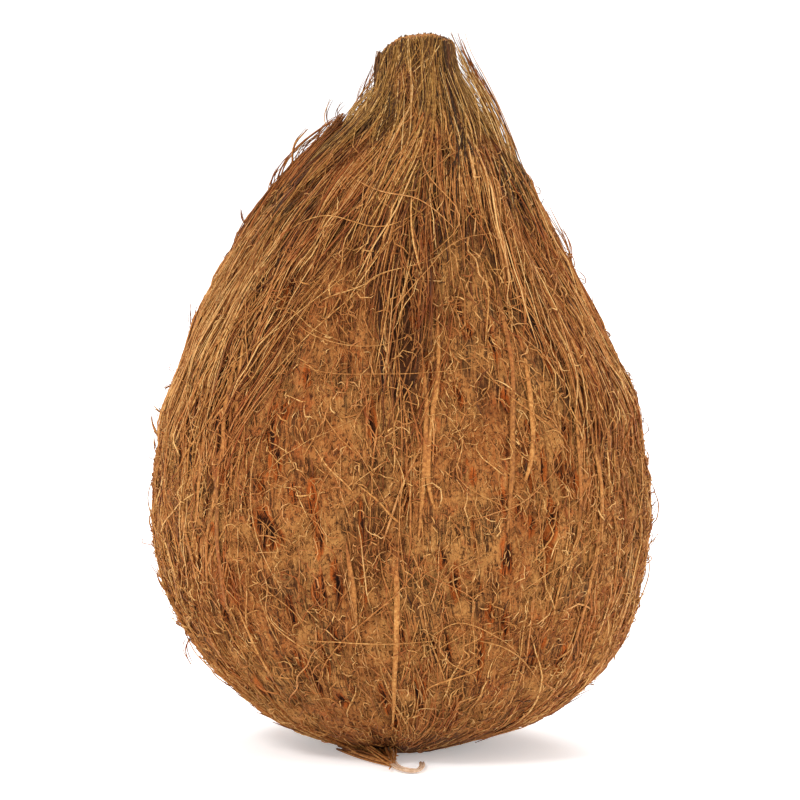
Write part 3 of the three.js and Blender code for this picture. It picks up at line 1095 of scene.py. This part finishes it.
def make_curls(name, seed, count, steps, mean_length, thick):
    """Short arcs in all directions."""
    rng = np.random.default_rng(seed)
    drawn = 2 * count
    column = rng.uniform(0, TAU, drawn)
    middle = rng.beta(1.3, 1.7, drawn) * 0.88 + 0.005
    kept = np.flatnonzero(rng.uniform(0, 1, drawn) > UNDER_DRAPE * drape(column, middle))[:count]
    column, middle = column[kept], middle[kept]
    length = rng.gamma(2.2, mean_length / 2.2, count) + 1.2 * MM
    heading = rng.normal(math.pi / 2, 0.85, count)
    bend = rng.normal(0, 1.9, count)
    t = np.linspace(-0.5, 0.5, steps)
    direction = heading[:, None] + bend[:, None] * t + rng.normal(0, 0.4, (count, steps))
    step_length = length[:, None] / (steps - 1)
    aside = np.cumsum(np.cos(direction) * step_length, axis=1)
    up = np.cumsum(np.sin(direction) * step_length, axis=1)
    share = np.clip(middle[:, None] + (up - up.mean(1, keepdims=True)) / HEIGHT, 0.001, 0.93)
    angle = column[:, None] + (aside - aside.mean(1, keepdims=True)) / (HALF_WIDTH * outline(share))
    lift = rng.gamma(2.0, 0.3, count)[:, None] * MM
    rise = np.sin(math.pi * (t + 0.5)) ** 0.8
    over_drape = drape(angle, share) * rng.uniform(0.2, 1.6, (count, 1)) * MM
    out = relief(angle, share) + lift * rise + 0.12 * MM + over_drape
    radii = tapered(rng, count, steps, thick, root=0.7, tip=0.45)
    tones = toned(rng, count, 0.64, 0.2)
    return fibres(name, point(angle, share, out), radii, tones, fibre_finish)


make_curls("curly_ends", 51, CURLS, 6, 3.5 * MM, 0.13 * MM)
make_curls("short_curls", 52, SHORT_CURLS, 4, 1.2 * MM, 0.14 * MM)

# %% [markdown]
# ## Ribs
# A few fibres are far coarser than the rest: flat bands about one millimetre wide, half sunk in
# the mat. They are drawn as six-sided tubes and then pressed flat against the nut.

# %% Coarse ribs
SEEN_RIBS = [
    [(497, 262), (505, 330), (512, 400), (510, 470), (503, 560)],
    [(516, 318), (524, 370), (531, 420), (530, 452), (520, 492)],
    [(538, 270), (560, 330), (572, 400), (580, 470), (574, 545), (556, 610)],
    [(392, 540), (397, 590), (396, 650), (394, 700), (392, 742)],
    [(345, 540), (353, 590), (358, 640)],
    [(437, 300), (438, 360), (432, 420), (428, 480), (440, 520)],
    [(418, 330), (426, 400), (424, 470), (416, 560)],
    [(596, 430), (600, 500), (592, 570), (575, 640)],
    [(196, 380), (214, 470), (222, 560), (240, 640)],
    [(176, 440), (186, 520), (205, 600)],
    [(245, 330), (225, 400), (222, 470)],
]
LOOSE_RIBS = 46
RIB_PRESS = 0.64  # share of its thickness that a rib loses
NUT_MIDDLE = np.array((0, 0, 0.36 * HEIGHT))  # the point that the ribs are pressed towards


def flattened(mesh, routes, sides):
    """Presses tubes flat against the nut, to about a third of their width."""
    places = read_places(mesh)
    middle = np.repeat(routes.reshape(-1, 3), sides, axis=0)
    away = middle - NUT_MIDDLE
    away /= np.linalg.norm(away, axis=1, keepdims=True)
    out = ((places - middle) * away).sum(1, keepdims=True)
    write_places(mesh, places - RIB_PRESS * out * away)


def make_ribs():
    """Flat bands, those of the picture first."""
    rng = np.random.default_rng(61)
    steps = 22
    seen_angle, seen_share = seen_routes(SEEN_RIBS, steps)
    column = rng.uniform(FRONT + 0.75, FRONT + TAU - 0.75, LOOSE_RIBS)
    low = rng.uniform(0.04, 0.45, LOOSE_RIBS)
    high = np.clip(low + rng.uniform(0.12, 0.4, LOOSE_RIBS), 0, 0.8)
    angle, share = lines(rng, column, low, high, rng.normal(0, 0.05, LOOSE_RIBS), steps, slow=0.8 * MM)
    angle, share = np.vstack((seen_angle, angle)), np.vstack((seen_share, share))
    count, placed = len(angle), len(seen_angle)
    t = np.linspace(0, 1, steps)
    out = relief(angle, share, LUMPS[:2]) + 0.4 * MM - 1.2 * MM * (2 * t - 1) ** 8
    thick = rng.uniform(0.36, 0.6, (count, 1)) * MM
    thick[:placed, 0] = rng.uniform(0.55, 0.78, placed) * MM
    radii = thick * np.interp(t, (0, 0.2, 0.5, 0.8, 1), (0.2, 0.8, 1, 0.75, 0.2))
    radii = radii * (1 + 0.1 * wander(rng, count, steps, 1, 1))
    tones = toned(rng, count, 0.53, 0.06) * (1, 0.4)
    routes = point(angle, share, out)
    return fibres("coarse_ribs", routes, radii, tones, fibre_finish, sides=6, press=flattened)


make_ribs()

# %% [markdown]
# ## Stray hairs
# Long thin hairs have sprung loose and cross the others at any angle, in wide easy arcs. Those
# that the picture shows plainly are placed by it, and more are drawn at random on every side.

# %% Long loose hairs
SEEN_HAIRS = [
    [(290, 357), (330, 372), (390, 373), (450, 370), (494, 362)],
    [(378, 332), (400, 300), (425, 270), (455, 240), (500, 232)],
    [(318, 690), (335, 650), (372, 615), (400, 590), (430, 550)],
    [(290, 316), (330, 340), (375, 345), (420, 330)],
    [(262, 318), (290, 308), (318, 330), (352, 345)],
    [(470, 520), (490, 512), (520, 500), (560, 460)],
    [(338, 548), (352, 600), (364, 650), (376, 700)],
    [(512, 598), (540, 575), (575, 550), (600, 520)],
    [(200, 300), (190, 360), (196, 430), (208, 500)],
    [(430, 640), (460, 622), (500, 640), (520, 660)],
    [(300, 640), (350, 642), (395, 643), (440, 640)],
    [(476, 640), (510, 652), (540, 690)],
    [(270, 420), (255, 470), (262, 540), (290, 600)],
    [(225, 560), (262, 600), (300, 640), (330, 655)],
    [(420, 210), (380, 226), (330, 215), (290, 230)],
    [(360, 150), (400, 160), (450, 148), (480, 165)],
    [(400, 200), (430, 170), (460, 150), (500, 160)],
    [(345, 170), (380, 190), (420, 200), (455, 230)],
    [(450, 470), (470, 500), (480, 540), (470, 580), (480, 590)],
    [(395, 300), (400, 380), (402, 460), (398, 560), (404, 660)],
]
LOOSE_HAIRS = 100


def make_hairs():
    """Hairs that cross the others, those of the picture first."""
    rng = np.random.default_rng(71)
    steps = 18
    seen_angle, seen_share = seen_routes(SEEN_HAIRS, steps)
    column = rng.uniform(0, TAU, LOOSE_HAIRS)
    low = rng.uniform(0.03, 0.82, LOOSE_HAIRS)
    rise = 0.05 + np.abs(rng.normal(0, 0.12, LOOSE_HAIRS))
    high = np.clip(low + rise, 0.02, 0.93)
    turn = rng.normal(0, 0.3, LOOSE_HAIRS)
    angle, share = lines(rng, column, low, high, turn, steps, slow=3.5 * MM, quick=1.1 * MM)
    angle, share = np.vstack((seen_angle, angle)), np.vstack((seen_share, share))
    count = len(angle)
    t = np.linspace(0, 1, steps)
    lift = rng.uniform(0.6, 1.9, (count, 1)) * MM
    out = relief(angle, share, LUMPS[:2]) + lift * np.sin(math.pi * t) ** 0.6 + 0.2 * MM
    radii = tapered(rng, count, steps, thick=0.14 * MM, root=0.7, tip=0.5)
    tones = toned(rng, count, 0.72, 0.1)
    return fibres("stray_hairs", point(angle, share, out), radii, tones, fibre_finish)


make_hairs()

# %% [markdown]
# ## Fluff
# Against the light the outline of the nut is never clean: short broken ends stand off it, mostly
# leaning up along the strands. Over the left shoulder a whole torn layer has lifted.

# %% Broken ends at the outline
FLUFF = 3200
TORN_FIBRES, TORN_FLAKES = 140, 24


def make_fluff():
    """Broken ends all over the nut, most of them leaning up."""
    rng = np.random.default_rng(81)
    count, steps = FLUFF, 4
    column = rng.uniform(0, TAU, count)
    low = rng.uniform(0.01, 0.88, count)
    coarse = rng.uniform(0, 1, count) < 0.22
    length = np.minimum(rng.gamma(3, 0.9, count) + 0.8, 5) * MM
    upward = np.where(rng.uniform(0, 1, count) < 0.72, 1, -0.8)
    high = np.clip(low + upward * length * 0.8 / HEIGHT, 0.004, 0.98)
    angle, share = lines(rng, column, low, high, rng.normal(0, 0.03, count), steps, slow=0.4 * MM)
    t = np.linspace(0, 1, steps)
    lean_out = rng.uniform(0.1, 0.6, (count, 1)) * length[:, None]
    out = relief(angle, share) - 0.3 * MM + lean_out * t ** rng.uniform(0.7, 1.6, (count, 1))
    thick = np.where(coarse, 0.2, 0.13)[:, None] * MM
    radii = tapered(rng, count, steps, thick, root=1, tip=0.4)
    tones = toned(rng, count, 0.46, 0.2)
    return fibres("broken_ends", point(angle, share, out), radii, tones, fibre_finish)


def make_torn_layer():
    """Flakes of fibre that have lifted off the left shoulder."""
    rng = np.random.default_rng(82)
    count, steps = TORN_FIBRES, 10
    flake = rng.integers(0, TORN_FLAKES, count)
    column = math.pi + rng.normal(0, 0.15, TORN_FLAKES)[flake] + rng.normal(0, 0.02, count)
    low = rng.uniform(0.68, 0.8, TORN_FLAKES)[flake] + rng.normal(0, 0.015, count)
    high = low + rng.uniform(0.06, 0.15, TORN_FLAKES)[flake] + rng.normal(0, 0.02, count)
    turn = rng.normal(0, 0.06, count)
    angle, share = lines(rng, column, low, np.minimum(high, 0.9), turn, steps, slow=0.8 * MM, quick=0.4 * MM)
    t = np.linspace(0, 1, steps)
    away = (rng.uniform(0.8, 2.4, TORN_FLAKES)[flake] + rng.normal(0, 0.3, count))[:, None] * MM
    arched = rng.uniform(0, 1, (count, 1)) < 0.3
    lifted = np.where(arched, np.sin(math.pi * t) ** 0.7, t**0.6)
    out = relief(angle, share) * (1 - lifted) + away * lifted
    radii = tapered(rng, count, steps, thick=rng.uniform(0.1, 0.34, (count, 1)) * MM, root=1, tip=0.3)
    tones = toned(rng, count, 0.36, 0.14)
    return fibres("torn_layer", point(angle, share, out), radii, tones, fibre_finish)


make_fluff()
make_torn_layer()

# %% [markdown]
# Some loose strands are seen plainly against the white ground: those of the torn layer, which run
# along the shoulder with light under them, those at both sides of the neck, and a few spikes on
# the sides. They lie near the plane through the axis that faces the camera, so their places in
# the picture give their places in that plane. Each is drawn as a few threads side by side.

# %% Strands seen against the ground
FREE_STRANDS = [
    [(266, 194), (277, 170), (295, 152), (314, 136), (338, 119)],
    [(268, 188), (283, 163), (302, 144), (320, 130), (332, 121)],
    [(272, 186), (292, 158), (313, 142), (338, 126)],
    [(282, 168), (292, 148), (302, 137), (309, 130)],
    [(322, 132), (327, 114), (333, 100)],
    [(332, 126), (337, 113), (343, 104)],
    [(306, 146), (320, 131), (335, 121), (346, 118)],
    [(262, 200), (271, 180), (284, 164)],
    [(290, 164), (304, 147), (322, 133), (341, 122)],
    [(284, 172), (300, 150), (316, 138), (326, 128)],
    [(240, 228), (243, 218), (244, 210)],
    [(193, 345), (192, 322), (193, 303)],
    [(350, 116), (358, 97), (367, 81)],
    [(353, 114), (363, 90), (373, 68)],
    [(359, 112), (369, 86), (375, 64)],
    [(536, 190), (516, 147), (498, 109), (483, 79), (471, 57), (464, 34)],
    [(531, 180), (508, 131), (489, 94), (474, 66)],
    [(520, 168), (497, 122), (477, 83), (466, 58), (459, 42)],
    [(512, 160), (488, 112), (469, 76), (455, 48), (450, 37)],
    [(540, 196), (520, 160), (506, 128), (492, 100)],
    [(500, 132), (484, 100), (470, 66), (461, 50)],
    [(634, 532), (648, 513), (659, 500)],
    [(642, 560), (652, 545), (657, 532)],
    [(163, 452), (156, 437), (153, 425), (152, 415)],
    [(160, 464), (155, 450), (154, 432)],
    [(167, 426), (159, 413), (155, 407)],
    [(176, 401), (170, 398), (164, 396)],
    [(173, 384), (167, 386), (161, 390)],
    [(157, 500), (151, 514), (147, 527)],
    [(165, 590), (156, 574), (150, 558)],
    [(168, 600), (161, 586), (157, 574)],
    [(582, 270), (567, 244), (554, 223), (545, 208)],
    [(579, 264), (569, 242), (560, 228)],
    [(176, 640), (184, 655), (192, 668)],
]  # pixels, from the root of each strand to its tip
THREADS = 3
ROOT_DEPTH = 2.5 * MM  # how far the root of a strand goes into the coconut


def facing(places):
    """Points of the plane through the axis that faces the camera, at these pixels."""
    px, py = np.array(places, float).T
    across = AIM[0] + (px - MIDDLE) * PIXEL
    up = AIM[2] + (MIDDLE - py) * PIXEL / math.cos(ELEVATION)
    return np.stack((across, np.zeros_like(px), up), 1)


def make_free_strands():
    """A few threads along each strand that shows against the ground."""
    rng = np.random.default_rng(83)
    steps, count = 12, THREADS * len(FREE_STRANDS)
    t = np.linspace(0, 1, steps)
    routes = []
    for strand in FREE_STRANDS:
        smooth = resampled(facing(strand), steps)
        smooth[:, 0] -= np.sign(smooth[0, 0]) * ROOT_DEPTH * (1 - t) ** 4
        for _ in range(THREADS):
            ends = rng.normal(0, (0.5, 1.6, 0.3), (2, 3)) * MM
            routes.append(smooth + ends[0] * (1 - t[:, None]) + ends[1] * t[:, None])
    radii = tapered(rng, count, steps, thick=rng.uniform(0.08, 0.22, (count, 1)) * MM, root=1, tip=0.35)
    tones = toned(rng, count, 0.42, 0.18)
    return fibres("free_strands", np.array(routes), radii, tones, fibre_finish)


make_free_strands()

# %% [markdown]
# ## The trailing strand
# One thick strand hangs from the blunt end, lies on the surface in front and hooks to the right.
# At its root the fibres of the blunt end draw together from the left. The strand itself is a few
# pale threads that twist around each other, so that it is uneven as the real one is.

# %% Trailing strand
PALE_STOPS = [(0, shade(112, 88, 66)), (0.5, shade(176, 142, 112)), (1, shade(214, 188, 164))]
TRAIL = [
    (-3, -9, 3.4), (-2.9, -18, 2.6), (-2.2, -28, 0.8), (-0.7, -36.5, 0.8),
    (2.4, -39.5, 0.8), (4.2, -36, 0.8), (4.5, -29, 0.8),
]  # millimetres, from the blunt end to the tip of the hook
ROOT_THREADS, TRAIL_THREADS = 80, 9


def make_strand_root():
    """Fibres that draw together where the trailing strand begins."""
    rng = np.random.default_rng(92)
    count, steps = ROOT_THREADS, 8
    across = np.linspace(0, 1, count)
    t = np.linspace(0, 1, steps)[None, :, None]
    start = np.stack((13 * across - 15, -10 - 4 * across, rng.uniform(0.3, 3.4, count)), 1) * MM
    end = np.array(TRAIL[2]) * MM + rng.normal(0, (0.6, 3, 0.3), (count, 3)) * MM
    bend = rng.normal(0, 0.7, (count, 1, 3)) * MM * np.sin(math.pi * t)
    routes = start[:, None] * (1 - t) + end[:, None] * t + bend
    radii = tapered(rng, count, steps, thick=0.26 * MM, root=1, tip=0.4)
    return fibres("strand_root", routes, radii, toned(rng, count, 0.5, 0.14), fibre_finish, sides=4)


make_strand_root()


def make_trail():
    """Pale threads that twist around the line of the trailing strand."""
    rng = np.random.default_rng(91)
    count, steps = TRAIL_THREADS, 26
    t = np.linspace(0, 1, steps)
    middle = resampled(np.array(TRAIL), steps) * MM
    turn = rng.uniform(0, TAU, (count, 1)) + t * rng.uniform(2, 5, (count, 1))
    away = rng.uniform(0.1, 0.5, (count, 1)) * MM * (1 + 0.6 * t)
    twisted = np.stack((away * np.cos(turn), away * np.sin(turn), 0.3 * away * np.sin(2 * turn)), 2)
    radii = tapered(rng, count, steps, thick=0.34 * MM, root=1, tip=0.5)
    pale = make_fibre_finish("coir_pale", PALE_STOPS, 0.0)
    tones = toned(rng, count, 0.6, 0.1)
    return fibres("trailing_strand", middle + twisted, radii, tones, pale, sides=5)


make_trail()

# %% [markdown]
# ## Stage, light and camera
# The picture is a packshot: a white ground, flat soft light from the upper left, and a long lens a
# little above the table. The floor is a wide white disc under a white sky. It reaches so far that
# floor and sky meet in one white from every side, and no wall stands in any view. It glows a
# little, so the shadow on it stays as faint as in the picture.

# %% Floor
FLOOR_RADIUS = 14
FLOOR_GLOW = {"Emission Color": (1, 1, 1, 1), "Emission Strength": 0.25}


def make_floor():
    """A wide white disc under the coconut."""
    bm = bmesh.new()
    bmesh.ops.create_circle(bm, cap_ends=True, segments=64, radius=FLOOR_RADIUS)
    mesh = bpy.data.meshes.new("floor")
    bm.to_mesh(mesh)
    bm.free()
    floor = bpy.data.objects.new("floor", mesh)
    bpy.context.scene.collection.objects.link(floor)
    values = {"Base Color": shade(254, 254, 254), "Roughness": 0.9, **FLOOR_GLOW}
    mesh.materials.append(Finish("paper").surface(values))


make_floor()


# %% Light
def aim(thing, target):
    """Turns a light or a camera to look at a point."""
    thing.rotation_euler = (Vector(target) - thing.location).to_track_quat("-Z", "Y").to_euler()


def soft_light(name, place, size, power):
    """A round light that is aimed at the middle of the coconut."""
    data = bpy.data.lights.new(name, "AREA")
    data.shape, data.size, data.energy = "DISK", size, power
    light = bpy.data.objects.new(name, data)
    light.location = place
    bpy.context.scene.collection.objects.link(light)
    aim(light, (0, 0, HEIGHT / 2))


LIGHTS = [
    ("key", (-0.75, -1.1, 1.15), 0.4, 13),
    ("right", (1.4, -0.55, 0.4), 0.8, 10.5),
    ("left", (-1.4, -0.45, 0.35), 0.8, 5),
    ("low", (-0.2, -1.3, 0.12), 0.6, 3.5),
    ("back", (0.3, 0.9, 1.2), 0.8, 12),
]  # name, place and width in metres, power in watts
for name, place, width, power in LIGHTS:
    soft_light(name, place, width, power)
world = bpy.data.worlds.new("studio")
world.use_nodes = True
world.node_tree.nodes["Background"].inputs["Color"].default_value = (1, 1, 1, 1)
world.node_tree.nodes["Background"].inputs["Strength"].default_value = 1.0
bpy.context.scene.world = world
bpy.context.scene.view_settings.view_transform = "Standard"

# %% Camera
def make_camera():
    """A long lens at the height and distance of the picture."""
    data = bpy.data.cameras.new("camera")
    data.lens = data.sensor_width * DISTANCE / (FRAME_PIXELS * PIXEL)
    camera = bpy.data.objects.new("camera", data)
    camera.location = AIM - DISTANCE * VIEW
    bpy.context.scene.collection.objects.link(camera)
    aim(camera, AIM)
    bpy.context.scene.camera = camera
    print("lens:", round(data.lens), "mm")


make_camera()
